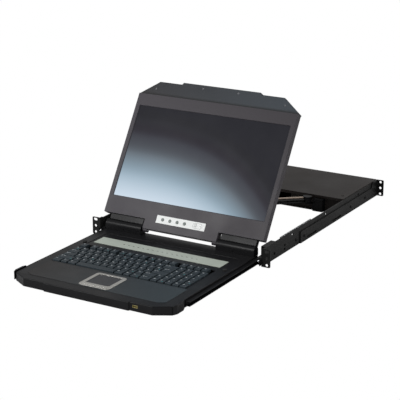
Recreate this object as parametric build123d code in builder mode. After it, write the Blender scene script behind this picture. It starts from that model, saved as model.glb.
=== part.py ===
"""Rackmount screen and keyboard drawer, one rack unit high, in millimetres.

Origin: centre of the front ears' front face, at mid height.  +X to the right as the user sees it,
+Y back into the rack, +Z up.  The rest pose is the drawer pulled out and the lid open.
"""
import os
from math import acos, cos, degrees, radians, sin

from build123d import *

os.makedirs("parts", exist_ok=True)

# Rack standard
rack_hole_x = 232.55          # ear hole columns, either side of the middle
rack_hole_z = 15.875          # outer holes of one rack unit, above and below the middle
ear_half_width = 241.3
ear_half_height = 21.8
ear_hole_r = 3.4
ear_plate = 2.0
rear_ear_y = 636.0
slot_extra = 4.0              # how much longer than wide the upper ear slot is

# Side rails and outer brackets
rail_face = 219.0             # inner face of the side rail
rail_plate = 2.5
rail_half_height = 21.5
rail_top = 19.5               # top edge behind the ear
rail_end = 600.0
outer_plate = 2.5
outer_start = 188.0
outer_top = 7.0
screw_head_r = 3.4
screw_head_h = 1.6
screw_r = 1.9

# Chassis
chassis_front = 434.0
chassis_rear = 640.0
chassis_bottom = -20.6
chassis_top = 21.1
sheet = 1.2
front_wall_set_back = 6.0

# Tray
tray_half_width = 201.0
tray_front = -371.0
tray_rear = 17.0
tray_bottom = -20.6
tray_wall = 1.5
deck_top = -1.2
deck_plate = 2.0
bezel_depth = 24.0            # moulded front, front to back
corner_x = 36.0               # front corner cut, along X
corner_y = 20.5               # front corner cut, along Y
middle_half_width = 108.0
middle_proud = 3.5

# Slides
slide_top = -2.5
slide_height = 17.5
slide_sheet = 1.4
slide_gap = 0.35
outer_depth = 9.0
travel = 345.0

# Lid, on a plane through the hinge axis; its own v runs up the lid and w out of the screen
hinge_y = 7.6
hinge_z = 10.0
lid_tilt = 32.0
lid_half_width = 216.5
lid_face = 8.0
lid_back = -10.5
lid_wall = 2.2
bezel_plate = 2.5
notch_v = 25.0                # lower edge beside the middle section
middle_v = 2.0                # lower edge of the middle section
middle_lid_half = 100.0
fold_v = 330.0
lip_v = 366.0
lip_middle_v = 371.0
lip_face = 4.0
lip_cut_x = 47.0
lip_cut_v = 34.0
screen_width = 409.8
screen_height = 230.4
screen_v = 69.2

# Hinges
barrel_r = 10.9
barrel_inner = 102.0
barrel_outer = 201.0
pin_r = 3.0
pin_clearance = 0.05
pin_length = 42.0
knuckle_r = 5.4
knuckle_length = 12.0

# Keyboard
key_pitch_x = 18.5
key_pitch_y = 20.3
key_gap = 2.6
key_height = 6.2
key_top = 1.4
key_taper = 1.1
columns = 19
function_row_gap = 6.0
keyboard_left = -179.0
keyboard_back = -123.0

# Touchpad
pad_frame = (78.0, 79.0)
pad_frame_middle = (-3.0, -303.5)
pad_size = (60.0, 55.0)
pad_back_margin = 7.0
pad_button_depth = 10.0

# Front data port
usb_x = 123.0
usb_z = -9.9
usb_size = (13.2, 5.8)

# Control plate below the screen, in lid directions
osd_middle_x = -3.0
osd_width = 132.0
osd_v = (20.2, 39.2)
osd_plate_thick = 0.8
osd_button_x = (-52.0, -32.2, -12.3, 7.5)
osd_button_v = 29.6
osd_button_r = 3.8
osd_travel = 0.8
osd_proud = 1.0
power_x = 36.7
power_v = 30.6
lamp_x = 50.4
lamp_r = 2.0

# Lid lip screws
lip_screws_at = ((-176.0, 347.0), (-48.0, 362.0), (48.0, 362.0), (176.0, 347.0))
lip_screw_r = 2.0

# Side release catches, pressed towards the tray
catch_middle_y = -331.0
catch_z = -11.0
catch_length = 42.0
catch_reach = 6.0
catch_travel = 2.0
catch_stem_r = 1.8

# Indicator strip
strip_size = (337.0, 40.0)
strip_y = -79.0
strip_recess = (356.0, 84.0)
strip_recess_y = -72.0
recess_depth = 0.8

# Folding cable arm
arm_x = 126.0
arm_rear_y = 421.0
arm_front_y = 30.0
link_length = 305.0
link_width = 15.0
link_plate = 2.5
upper_link_z = 2.0
lower_link_z = -9.0
spool_r = 10.0
cable_r = 2.1

arm_half_span = (arm_rear_y - arm_front_y) / 2
arm_angle = degrees(acos(arm_half_span / link_length))

lid_plane = Plane(
    origin=(0, hinge_y, hinge_z),
    x_dir=(1, 0, 0),
    z_dir=(0, -cos(radians(lid_tilt)), sin(radians(lid_tilt))),
)


def keep(part, name):
    """Label a finished piece and write it."""
    part.label = name
    export_step(part, f"parts/{name}.step")


def keep_pair(part, name):
    """Write a right-hand moving piece and its mirrored left-hand twin, one file each."""
    keep(part, f"{name}_right")
    keep(mirror(part, about=Plane.YZ), f"{name}_left")


def slab(x, y, z, mode=Mode.ADD):
    """A block between two limits on each axis, inside the part being built."""
    with Locations(((x[0] + x[1]) / 2, (y[0] + y[1]) / 2, (z[0] + z[1]) / 2)):
        Box(x[1] - x[0], y[1] - y[0], z[1] - z[0], mode=mode)


def lid_block(x, v, w, mode=Mode.ADD):
    """A block given in the lid's own directions."""
    with Locations(lid_plane * Location(((x[0] + x[1]) / 2, (v[0] + v[1]) / 2, (w[0] + w[1]) / 2))):
        Box(x[1] - x[0], v[1] - v[0], w[1] - w[0], mode=mode)


# Side rail with the front ear, folded from one plate
rail_outer = rail_face + rail_plate
with BuildPart() as side_rail:
    with BuildSketch(Plane.XY.offset(-rail_half_height)):
        with BuildLine():
            Polyline(
                (rail_face, 0),
                (ear_half_width, 0),
                (ear_half_width, ear_plate),
                (rail_outer, ear_plate),
                (rail_outer, rail_end),
                (rail_face, rail_end),
                close=True,
            )
        make_face()
    extrude(amount=2 * rail_half_height)
    ear_corners = side_rail.edges().filter_by(Axis.Y).group_by(Axis.X)[-1]
    fillet(ear_corners, 3.0)
    with BuildSketch(Plane.XZ):
        with Locations((rack_hole_x, rack_hole_z)):
            SlotOverall(2 * ear_hole_r + slot_extra, 2 * ear_hole_r)
        with Locations((rack_hole_x, 0), (rack_hole_x, -rack_hole_z)):
            Circle(ear_hole_r)
    extrude(amount=-ear_plate, mode=Mode.SUBTRACT)
    with BuildSketch(Plane.YZ.offset(rail_face)):
        with Locations((110, -2.4), (110, -11.7), (150, 12), (330, 12), (330, -12), (520, 12)):
            SlotOverall(9, 4)
        with Locations((rail_end - 60, 0)):
            SlotOverall(60, 6)
    extrude(amount=rail_plate, mode=Mode.SUBTRACT)
    slab((rail_face, rail_outer), (10, rail_end), (rail_top, rail_half_height), mode=Mode.SUBTRACT)
    mirror(about=Plane.YZ)
keep(side_rail.part, "side_rails")

# Outer bracket that reaches the rear rack posts
outer_outer = rail_outer + outer_plate
with BuildPart() as outer_bracket:
    with BuildSketch(Plane.YZ.offset(rail_outer)):
        with BuildLine():
            Polyline(
                (outer_start, -rail_half_height),
                (rear_ear_y + ear_plate, -rail_half_height),
                (rear_ear_y + ear_plate, rail_half_height),
                (rear_ear_y - 24, rail_half_height),
                (rear_ear_y - 38, outer_top),
                (outer_start, outer_top),
                close=True,
            )
        make_face()
    extrude(amount=outer_plate)
    slab((outer_outer, ear_half_width), (rear_ear_y, rear_ear_y + ear_plate),
         (-rail_half_height, rail_half_height))
    fillet(outer_bracket.edges().filter_by(Axis.Y).group_by(Axis.X)[-1], 3.0)
    with BuildSketch(Plane.XZ.offset(-rear_ear_y)):
        with Locations((rack_hole_x, -rack_hole_z), (rack_hole_x, 0), (rack_hole_x, rack_hole_z)):
            Circle(ear_hole_r)
    extrude(amount=-ear_plate, mode=Mode.SUBTRACT)
    with BuildSketch(Plane.YZ.offset(rail_outer)):
        with Locations((outer_start + 60, -14), (outer_start + 200, -14)):
            SlotOverall(50, 5)
    extrude(amount=outer_plate, mode=Mode.SUBTRACT)
    mirror(about=Plane.YZ)
keep(outer_bracket.part, "outer_brackets")

# Screws of the rail: into the slide, the chassis and the outer bracket
with BuildPart() as rail_screws:
    for screw_y, screw_z, seat in (
        (61, -8, rail_outer),
        (170, -8, rail_outer),
        (outer_start + 20, -8, outer_outer),
        (470, -8, outer_outer),
        (560, -8, outer_outer),
    ):
        with Locations(Plane.YZ.offset(seat) * Location((screw_y, screw_z, 0))):
            Cylinder(screw_head_r, screw_head_h, align=(Align.CENTER, Align.CENTER, Align.MIN))
            with Locations((0, 0, screw_head_h)):
                Box(1.0, 4.2, 1.2, mode=Mode.SUBTRACT)
                Box(4.2, 1.0, 1.2, mode=Mode.SUBTRACT)
    mirror(about=Plane.YZ)
keep(rail_screws.part, "rail_screws")

# Perforated strip along the top inside of the rail
strip_thick = 1.4
with BuildPart() as vent_strip:
    slab((rail_face - strip_thick, rail_face), (92, 250), (17.2, 21.8))
    with BuildSketch(Plane.YZ.offset(rail_face - strip_thick)):
        with Locations((171, 20.6)):
            with GridLocations(6.5, 1, 23, 1):
                Rectangle(3.2, 1.6)
    extrude(amount=strip_thick, mode=Mode.SUBTRACT)
    mirror(about=Plane.YZ)
keep(vent_strip.part, "vent_strips")

# Slides: fixed channel with its knob tab, middle channel and drawer channel, nested with a small gap
slide_bottom = slide_top - slide_height
knob_y = -3.5
knob_z = -8.0
knob_stem_r = 1.5


def channel(name, x_web, x_lips, y_span, inset):
    """A C-shaped slide member; inset is how far its height shrinks from the outer one."""
    low = slide_bottom + inset
    high = slide_top - inset
    inward = 1 if x_lips > x_web else -1
    with BuildPart() as member:
        with BuildSketch(Plane.XZ.offset(-y_span[0])):
            with BuildLine():
                Polyline(
                    (x_web, low),
                    (x_lips, low),
                    (x_lips, low + slide_sheet),
                    (x_web + inward * slide_sheet, low + slide_sheet),
                    (x_web + inward * slide_sheet, high - slide_sheet),
                    (x_lips, high - slide_sheet),
                    (x_lips, high),
                    (x_web, high),
                    close=True,
                )
            make_face()
        extrude(amount=-(y_span[1] - y_span[0]))
        with BuildSketch(Plane.YZ.offset(x_web)):
            with Locations(((y_span[0] + y_span[1]) / 2, (low + high) / 2)):
                with GridLocations((y_span[1] - y_span[0]) / 3, 1, 3, 1):
                    SlotOverall(14, 4.4)
        extrude(amount=inward * slide_sheet, mode=Mode.SUBTRACT)
        if name == "slide_outer":
            slab((rail_face - slide_sheet, rail_face), (knob_y - 4.5, y_span[0]),
                 (slide_bottom + 2, slide_top))
            with BuildSketch(Plane.YZ.offset(rail_face - slide_sheet)):
                with Locations((knob_y, knob_z)):
                    Circle(knob_stem_r + pin_clearance)
            extrude(amount=slide_sheet, mode=Mode.SUBTRACT)
        mirror(about=Plane.YZ)
    keep(member.part, name)


middle_inset = slide_sheet + slide_gap
channel("slide_outer", rail_face, rail_face - outer_depth, (4, 402), 0)
channel("slide_middle", rail_face - slide_sheet - 1.0, tray_half_width + 5.5, (1, 226), middle_inset)
channel("slide_inner", tray_half_width, tray_half_width + 11.0, (-300, 60), 2 * middle_inset)

# Release knob on the front tab of each fixed channel
with BuildPart() as release_knob:
    with BuildSketch(Plane.YZ.offset(rail_face - slide_sheet - 4.6)):
        with Locations((knob_y, knob_z)):
            Circle(3.4)
    extrude(amount=3.0)
    fillet(release_knob.edges().group_by(Axis.X)[0], 0.8)
    with BuildSketch(Plane.YZ.offset(rail_face - slide_sheet - 1.6)):
        with Locations((knob_y, knob_z)):
            Circle(knob_stem_r)
    extrude(amount=slide_sheet + 1.6)
keep_pair(release_knob.part, "release_knob")

# Chassis pan with its port wall
wall_y = chassis_front + front_wall_set_back
port_pitch = 41.0
port_rows = (-9.5, 9.5)
port_middle = -58.0
port_size = (31.0, 12.6)
inlet_x = 176.0
inlet_size = (28.0, 21.0)
rocker_x = 146.0
rocker_size = (13.0, 20.0)
cable_window = (60.0, 24.0)
with BuildPart() as chassis_pan:
    slab((-rail_face, rail_face), (chassis_front, chassis_rear), (chassis_bottom, chassis_top - sheet))
    slab((-rail_face + sheet, rail_face - sheet), (wall_y + sheet, chassis_rear - sheet),
         (chassis_bottom + sheet, chassis_top), mode=Mode.SUBTRACT)
    slab((-rail_face + sheet, rail_face - sheet), (chassis_front - 1, wall_y),
         (chassis_bottom + sheet, chassis_top), mode=Mode.SUBTRACT)
    with BuildSketch(Plane.XZ.offset(-(chassis_rear - sheet))):
        with Locations((port_middle, sum(port_rows) / 2)):
            with GridLocations(port_pitch, port_rows[1] - port_rows[0], 8, 2):
                Rectangle(port_size[0] - 8, port_size[1] - 3)
        with Locations((inlet_x, 0)):
            Rectangle(inlet_size[0] - 2, inlet_size[1] - 2)
        with Locations((rocker_x, 0)):
            Rectangle(rocker_size[0], rocker_size[1])
    extrude(amount=-sheet, mode=Mode.SUBTRACT)
    with BuildSketch(Plane.XZ.offset(-wall_y)):
        with Locations((40, 0)):
            Rectangle(*cable_window)
    extrude(amount=-sheet, mode=Mode.SUBTRACT)
    with BuildSketch(Plane.YZ.offset(rail_face - sheet)):
        with Locations((chassis_rear - 70, 4)):
            with GridLocations(9, 1, 9, 1):
                SlotOverall(22, 3, rotation=90)
    extrude(amount=sheet, mode=Mode.SUBTRACT)
keep(chassis_pan.part, "chassis_pan")

# Cover plate with a lip turned down in front
with BuildPart() as chassis_cover:
    slab((-rail_face, rail_face), (chassis_front, chassis_rear), (chassis_top - sheet, chassis_top))
    slab((-rail_face + sheet + 0.3, rail_face - sheet - 0.3), (chassis_front, chassis_front + sheet),
         (chassis_top - 7, chassis_top - sheet))
    fillet(chassis_cover.edges().filter_by(Axis.X).group_by(Axis.Y)[0].sort_by(Axis.Z)[-1:], 0.8)
    with Locations((205, chassis_front + 27, chassis_top), (-205, chassis_front + 27, chassis_top)):
        Cylinder(screw_head_r, 1.0, align=(Align.CENTER, Align.CENTER, Align.MIN))
keep(chassis_cover.part, "chassis_cover")

# Port connectors on the rear wall: flange, shell and two nuts each
with BuildPart() as port_connectors:
    with BuildSketch(Plane.XZ.offset(-chassis_rear)):
        with Locations((port_middle, 0)):
            with GridLocations(port_pitch, port_rows[1] - port_rows[0], 8, 2):
                RectangleRounded(port_size[0], port_size[1], 1.5)
    extrude(amount=-0.8)
    with BuildSketch(Plane.XZ.offset(-(chassis_rear + 0.8))):
        with Locations((port_middle, 0)):
            with GridLocations(port_pitch, port_rows[1] - port_rows[0], 8, 2):
                Trapezoid(17, 8, 80)
    extrude(amount=-5.2)
    with BuildSketch(Plane.XZ.offset(-(chassis_rear + 0.8))):
        with Locations((port_middle, 0)):
            with GridLocations(port_pitch, port_rows[1] - port_rows[0], 8, 2):
                with Locations((-12.5, 0), (12.5, 0)):
                    RegularPolygon(2.6, 6)
    extrude(amount=-4.0)
keep(port_connectors.part, "port_connectors")

# Power insert: an open socket and the frame of the mains rocker
rocker_pivot_y = chassis_rear - 1.0
with BuildPart() as power_inlet:
    with BuildSketch(Plane.XZ.offset(-chassis_rear)):
        with Locations((inlet_x, 0)):
            RectangleRounded(inlet_size[0] + 4, inlet_size[1] + 5, 2)
    extrude(amount=-1.8)
    slab((inlet_x - inlet_size[0] / 2 + 1.3, inlet_x + inlet_size[0] / 2 - 1.3),
         (chassis_rear - 18, chassis_rear), (-inlet_size[1] / 2 + 1.3, inlet_size[1] / 2 - 1.3))
    slab((inlet_x - 11.4, inlet_x + 11.4), (chassis_rear - 14, chassis_rear + 2), (-8, 8),
         mode=Mode.SUBTRACT)
    for blade_x in (-7, 0, 7):
        slab((inlet_x + blade_x - 1, inlet_x + blade_x + 1), (chassis_rear - 14, chassis_rear - 3), (-2, 2))
    # the rocker's frame and its pivot stand beside the socket, as one insert
    with BuildSketch(Plane.XZ.offset(-chassis_rear)):
        with Locations((rocker_x, 0)):
            Rectangle(rocker_size[0] + 4, rocker_size[1] + 4)
            Rectangle(rocker_size[0] - 2, rocker_size[1] - 2, mode=Mode.SUBTRACT)
    extrude(amount=-1.8)
    with BuildSketch(Plane.XZ.offset(-(chassis_rear - 9))):
        with Locations((rocker_x, 0)):
            Rectangle(rocker_size[0] - 0.4, rocker_size[1] - 0.4)
            Rectangle(rocker_size[0] - 2, rocker_size[1] - 2, mode=Mode.SUBTRACT)
    extrude(amount=-9)
    with BuildSketch(Plane.YZ.offset(rocker_x - rocker_size[0] / 2 + 0.2)):
        with Locations((rocker_pivot_y, 0)):
            Circle(1.2)
    extrude(amount=rocker_size[0] - 0.4)
keep(power_inlet.part, "power_inlet")

with BuildPart() as rocker:
    with BuildSketch(Plane.YZ.offset(rocker_x - rocker_size[0] / 2 + 1.4)):
        with BuildLine():
            Polyline(
                (rocker_pivot_y - 3.2, -4),
                (rocker_pivot_y + 1.6, -8.2),
                (rocker_pivot_y + 4.0, -8.2),
                (rocker_pivot_y + 2.8, 0),
                (rocker_pivot_y + 4.0, 8.2),
                (rocker_pivot_y + 1.6, 8.2),
                (rocker_pivot_y - 3.2, 4),
                close=True,
            )
        make_face()
        with Locations((rocker_pivot_y, 0)):
            Circle(1.2 + pin_clearance, mode=Mode.SUBTRACT)
    extrude(amount=rocker_size[0] - 2.8)
keep(rocker.part, "rocker_switch")

# What the chassis holds: switching board and power supply
with BuildPart() as switch_board:
    slab((-205, 95), (chassis_front + 60, chassis_rear - 4), (chassis_bottom + 7, chassis_bottom + 8.6))
    for chip_x in (-150, -60, 30):
        slab((chip_x - 14, chip_x + 14), (540, 568), (chassis_bottom + 8.6, chassis_bottom + 11))
    with Locations(*[(post_x, post_y, chassis_bottom + sheet)
                     for post_x in (-195, -55, 85) for post_y in (505, 625)]):
        Cylinder(3, 7 - sheet, align=(Align.CENTER, Align.CENTER, Align.MIN))
keep(switch_board.part, "switch_board")

with BuildPart() as power_supply:
    slab((112, 212), (chassis_front + 24, chassis_rear - 40), (chassis_bottom + sheet, chassis_bottom + 33))
    chamfer(power_supply.edges().filter_by(Axis.Y).group_by(Axis.Z)[-1], 2)
    with BuildSketch(Plane.XY.offset(chassis_bottom + 33)):
        with Locations((162, 530)):
            with GridLocations(12, 26, 6, 4):
                SlotOverall(18, 4, rotation=90)
    extrude(amount=-1.5, mode=Mode.SUBTRACT)
keep(power_supply.part, "power_supply")

# Bracket on the chassis front that carries the cable arm
post_near = arm_x + spool_r + 3
post_far = post_near + 27
ear_span = (upper_link_z - 2.8, upper_link_z - 0.3)
with BuildPart() as arm_bracket:
    slab((post_near, post_far), (arm_rear_y + 3, wall_y), (chassis_bottom + sheet, 14))
    slab((post_near + sheet, post_far - sheet), (arm_rear_y + 3 + sheet, wall_y),
         (chassis_bottom + 2 * sheet, 14 - sheet), mode=Mode.SUBTRACT)
    slab((arm_x, post_near + 2), (arm_rear_y - 8, arm_rear_y + 8), ear_span)
    with Locations((arm_x, arm_rear_y, ear_span[0])):
        Cylinder(8, ear_span[1] - ear_span[0], align=(Align.CENTER, Align.CENTER, Align.MIN))
        Cylinder(pin_r, 2.8 + link_plate, align=(Align.CENTER, Align.CENTER, Align.MIN))
keep(arm_bracket.part, "arm_bracket")


def arm_link(start, heading, z, spool_z, strap_z, name):
    """One link of the cable arm: a plate, a cable spool at each end, two straps and the pivot bore."""
    far = (start[0] + link_length * cos(radians(heading)), start[1] + link_length * sin(radians(heading)))
    middle = ((start[0] + far[0]) / 2, (start[1] + far[1]) / 2)
    with BuildPart() as link:
        with BuildSketch(Plane.XY.offset(z)):
            with Locations(Location(middle + (0,), (0, 0, heading))):
                SlotCenterToCenter(link_length, link_width)
                with GridLocations(link_length / 4, 1, 3, 1):
                    SlotOverall(link_length / 6, 5, mode=Mode.SUBTRACT)
        extrude(amount=link_plate)
        with BuildSketch(Plane.XY.offset(z + link_plate)):
            with Locations(start, far):
                Circle(spool_r)
        extrude(amount=spool_z - z - link_plate)
        with BuildSketch(Plane.XY.offset(spool_z)):
            with Locations(start, far):
                Circle(spool_r + 1.5)
        extrude(amount=1.0)
        for share in (0.34, 0.66):
            along = link_length * share
            spot = (start[0] + along * cos(radians(heading)), start[1] + along * sin(radians(heading)), 0)
            with BuildSketch(Plane.XY.offset(z)):
                with Locations(Location(spot, (0, 0, heading))):
                    Rectangle(6, link_width + 2.4)
                    Rectangle(6, link_width - 0.1, mode=Mode.SUBTRACT)
            extrude(amount=strap_z - z)
            with BuildSketch(Plane.XY.offset(strap_z)):
                with Locations(Location(spot, (0, 0, heading))):
                    Rectangle(6, link_width + 2.4)
            extrude(amount=1.2)
        with BuildSketch(Plane.XY.offset(z)):
            with Locations(start):
                Circle(pin_r + pin_clearance)
        extrude(amount=link_plate + 0.4, mode=Mode.SUBTRACT)
    keep(link.part, name)
    return far


def arm_harness(start, heading, cables, name):
    """Cables between the two spools of one link; side is the bow, level the height."""
    with BuildPart() as harness:
        for side, level in cables:
            frame = Plane(
                origin=(start[0], start[1], level),
                x_dir=(cos(radians(heading)), sin(radians(heading)), 0),
                z_dir=(0, 0, 1),
            )
            reach = spool_r + 0.2
            with BuildLine(frame) as route:
                if side:
                    ThreePointArc((reach, side), (link_length / 2, 1.1 * side), (link_length - reach, side))
                else:
                    Line((reach, 0), (link_length - reach, 0))
            with BuildSketch(Plane(origin=route.line @ 0, z_dir=route.line % 0)):
                Circle(cable_r)
            sweep(path=route.line)
    keep(harness.part, name)


# Cable arm: the upper link turns on the chassis, the lower one on the tray, and they meet at the elbow
upper_heading = 270 - arm_angle
lower_heading = 90 + arm_angle
upper_spool = 17.5
lower_spool = 0.3
upper_levels = (upper_link_z + link_plate + cable_r, 11.0, 15.4)
lower_level = lower_link_z + link_plate + cable_r
arm_link((arm_x, arm_rear_y), upper_heading, upper_link_z, upper_spool,
         upper_levels[2] + cable_r, "arm_link_upper")
arm_link((arm_x, arm_front_y), lower_heading, lower_link_z, lower_spool,
         lower_level + cable_r, "arm_link_lower")
arm_harness((arm_x, arm_rear_y), upper_heading,
            ((-4.6, upper_levels[0]), (4.6, upper_levels[1]), (0, upper_levels[2])), "harness_upper")
arm_harness((arm_x, arm_front_y), lower_heading,
            ((-4.6, lower_level), (0, lower_level), (4.6, lower_level)), "harness_lower")

# Tray pan: floor, sides and rear wall, folded from one sheet
tray_pan_front = tray_front + bezel_depth
pan_top = deck_top - deck_plate
with BuildPart() as tray_pan:
    slab((-tray_half_width, tray_half_width), (tray_pan_front, tray_rear), (tray_bottom, pan_top))
    slab((-tray_half_width + tray_wall, tray_half_width - tray_wall),
         (tray_pan_front - 1, tray_rear - tray_wall), (tray_bottom + tray_wall, pan_top + 1),
         mode=Mode.SUBTRACT)
    fillet(tray_pan.edges().filter_by(Axis.Y).group_by(Axis.Z)[0], 1.2)
    with BuildSketch(Plane.XY.offset(tray_bottom)):
        with Locations((0, -60), (0, -300)):
            with GridLocations(60, 1, 5, 1):
                SlotOverall(34, 6)
    extrude(amount=tray_wall, mode=Mode.SUBTRACT)
    with BuildSketch(Plane.XZ.offset(-(tray_rear - tray_wall))):
        with Locations((arm_x - 22, -11)):
            Rectangle(16, 9)
    extrude(amount=-tray_wall, mode=Mode.SUBTRACT)
    with BuildSketch(Plane.YZ):
        with Locations((catch_middle_y, catch_z)):
            Circle(catch_stem_r + 0.1)
    extrude(amount=tray_half_width, both=True, mode=Mode.SUBTRACT)
keep(tray_pan.part, "tray_pan")

# Brackets that stand up at the rear end of the drawer slides
carriage_span = (36.0, 84.0)
with BuildPart() as slide_carriage:
    with BuildSketch(Plane.XZ.offset(-carriage_span[0])):
        with BuildLine():
            Polyline(
                (tray_half_width - 2.0, slide_bottom + 4),
                (tray_half_width, slide_bottom + 4),
                (tray_half_width, 11),
                (tray_half_width + 13, 11),
                (tray_half_width + 13, 13),
                (tray_half_width - 2.0, 13),
                close=True,
            )
        make_face()
    extrude(amount=-(carriage_span[1] - carriage_span[0]))
    fillet(slide_carriage.edges().filter_by(Axis.Z).group_by(Axis.X)[-1], 4)
    mirror(about=Plane.YZ)
keep(slide_carriage.part, "slide_carriages")

# Bracket on the tray's rear wall for the lower link
with BuildPart() as tray_arm_bracket:
    slab((arm_x - 10, arm_x + 10), (tray_rear, tray_rear + 2), (-19, -9.3))
    slab((arm_x - 10, arm_x + 10), (tray_rear + 2, arm_front_y), (-11.8, -9.3))
    with Locations((arm_x, arm_front_y, -11.8)):
        Cylinder(10, 2.5, align=(Align.CENTER, Align.CENTER, Align.MIN))
        Cylinder(pin_r, 2.8 + link_plate, align=(Align.CENTER, Align.CENTER, Align.MIN))
    for rib_x in (arm_x - 8, arm_x + 8):
        with BuildSketch(Plane.YZ.offset(rib_x - 1)):
            with BuildLine():
                Polyline((tray_rear + 2, -19), (tray_rear + 10, -11.8), (tray_rear + 2, -11.8), close=True)
            make_face()
        extrude(amount=2)
keep(tray_arm_bracket.part, "tray_arm_bracket")

# Deck plate with the keyboard opening, the touchpad opening and the indicator recess
keyboard_width = columns * key_pitch_x - key_gap
keyboard_depth = 6 * key_pitch_y + function_row_gap - key_gap
keyboard_middle = (keyboard_left + keyboard_width / 2, keyboard_back - keyboard_depth / 2)
well_margin = 1.6
bumper_spots = ((-187, -109), (187, -109))
bumper_r = 5.0
with BuildPart() as deck:
    slab((-tray_half_width, tray_half_width), (tray_pan_front, tray_rear), (pan_top, deck_top))
    fillet(deck.edges().filter_by(Axis.Y).group_by(Axis.Z)[-1], 0.8)
    with BuildSketch(Plane.XY.offset(deck_top)):
        with Locations((0, strip_recess_y)):
            RectangleRounded(strip_recess[0], strip_recess[1], 3)
    extrude(amount=-recess_depth, mode=Mode.SUBTRACT)
    with BuildSketch(Plane.XY.offset(pan_top)):
        with Locations(keyboard_middle):
            RectangleRounded(keyboard_width + 2 * well_margin, keyboard_depth + 2 * well_margin, 1.5)
        with Locations(pad_frame_middle):
            RectangleRounded(pad_frame[0] - 4, pad_frame[1] - 4, 5)
        with Locations(*bumper_spots):
            Circle(bumper_r - 1.5)
    extrude(amount=deck_plate, mode=Mode.SUBTRACT)
keep(deck.part, "deck")

# Palm rest plate, a little proud of the deck, with its own opening for the touchpad
palm_proud = 0.8
palm_back = keyboard_middle[1] - keyboard_depth / 2 - 4
palm_front = tray_pan_front - 3.0
with BuildPart() as palm_rest:
    with BuildSketch(Plane.XY.offset(deck_top)):
        with BuildLine():
            Polyline(
                (-178, palm_back),
                (178, palm_back),
                (178, palm_front + 12),
                (164, palm_front + 3.5),
                (-164, palm_front + 3.5),
                (-178, palm_front + 12),
                close=True,
            )
        make_face()
        with Locations(pad_frame_middle):
            RectangleRounded(pad_frame[0] - 4, pad_frame[1] - 4, 5, mode=Mode.SUBTRACT)
    extrude(amount=palm_proud)
    chamfer(palm_rest.faces().sort_by(Axis.Z)[-1].outer_wire().edges(), 0.5)
keep(palm_rest.part, "palm_rest")

# Moulded front with cut corners and a middle section that stands forward
with BuildPart() as front_bezel:
    with BuildSketch(Plane.XY.offset(tray_bottom)):
        with BuildLine():
            Polyline(
                (-tray_half_width, tray_pan_front),
                (-tray_half_width, tray_front + corner_y),
                (-tray_half_width + corner_x, tray_front),
                (-middle_half_width - 2, tray_front),
                (-middle_half_width, tray_front - middle_proud),
                (middle_half_width, tray_front - middle_proud),
                (middle_half_width + 2, tray_front),
                (tray_half_width - corner_x, tray_front),
                (tray_half_width, tray_front + corner_y),
                (tray_half_width, tray_pan_front),
                close=True,
            )
        make_face()
    extrude(amount=deck_top - tray_bottom)
    top_front = front_bezel.faces().sort_by(Axis.Z)[-1].edges().sort_by(Axis.Y)[:-1]
    fillet(top_front.filter_by(lambda edge: edge.center().Y < tray_pan_front - 0.5), 1.8)
    slab((-tray_half_width + corner_x - 8, tray_half_width - corner_x + 8), (tray_pan_front - 12, tray_pan_front),
         (tray_bottom + 2, deck_top - 2.5), mode=Mode.SUBTRACT)
    slab((-150, 150), (tray_pan_front - 16, tray_pan_front - 12), (tray_bottom + 3, deck_top - 4),
         mode=Mode.SUBTRACT)
    slab((usb_x - usb_size[0] / 2, usb_x + usb_size[0] / 2), (tray_front - 1, tray_pan_front - 10),
         (usb_z - usb_size[1] / 2, usb_z + usb_size[1] / 2), mode=Mode.SUBTRACT)
keep(front_bezel.part, "front_bezel")

# Front data port: a metal shell with its tongue
with BuildPart() as usb_port:
    slab((usb_x - usb_size[0] / 2, usb_x + usb_size[0] / 2), (tray_front + 0.4, tray_pan_front - 4),
         (usb_z - usb_size[1] / 2, usb_z + usb_size[1] / 2))
    slab((usb_x - usb_size[0] / 2 + 0.5, usb_x + usb_size[0] / 2 - 0.5), (tray_front - 1, tray_pan_front - 5),
         (usb_z - usb_size[1] / 2 + 0.5, usb_z + usb_size[1] / 2 - 0.5), mode=Mode.SUBTRACT)
    slab((usb_x - 5.4, usb_x + 5.4), (tray_front + 2, tray_pan_front - 5), (usb_z + 0.6, usb_z + 2.0))
keep(usb_port.part, "usb_port")

# Side release catches, whose stems pass through the tray's walls
with BuildPart() as side_catch:
    with BuildSketch(Plane.XY.offset(tray_bottom + 2)):
        with BuildLine():
            Polyline(
                (tray_half_width + catch_travel + 0.3, catch_middle_y - catch_length / 2),
                (tray_half_width + catch_reach - 2, catch_middle_y - catch_length / 2),
                (tray_half_width + catch_reach + 1.5, catch_middle_y - catch_length / 2 + 9),
                (tray_half_width + catch_reach + 1.5, catch_middle_y + catch_length / 2 - 9),
                (tray_half_width + catch_reach - 2, catch_middle_y + catch_length / 2),
                (tray_half_width + catch_travel + 0.3, catch_middle_y + catch_length / 2),
                close=True,
            )
        make_face()
    extrude(amount=-tray_bottom - 2 + 1.2)
    fillet(side_catch.edges().filter_by(Axis.Z).group_by(Axis.X)[-1], 3)
    chamfer(side_catch.faces().sort_by(Axis.Z)[-1].edges().sort_by(Axis.X)[1:], 1.0)
    for groove_y in (-8, -4, 0, 4, 8):
        slab((tray_half_width + catch_reach + 0.7, tray_half_width + catch_reach + 2),
             (catch_middle_y + groove_y - 0.7, catch_middle_y + groove_y + 0.7), (-17, -2),
             mode=Mode.SUBTRACT)
    with BuildSketch(Plane.YZ.offset(tray_half_width + catch_travel + 0.3)):
        with Locations((catch_middle_y, catch_z)):
            Circle(catch_stem_r)
    extrude(amount=-(catch_travel + 0.2))
keep_pair(side_catch.part, "side_catch")

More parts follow.
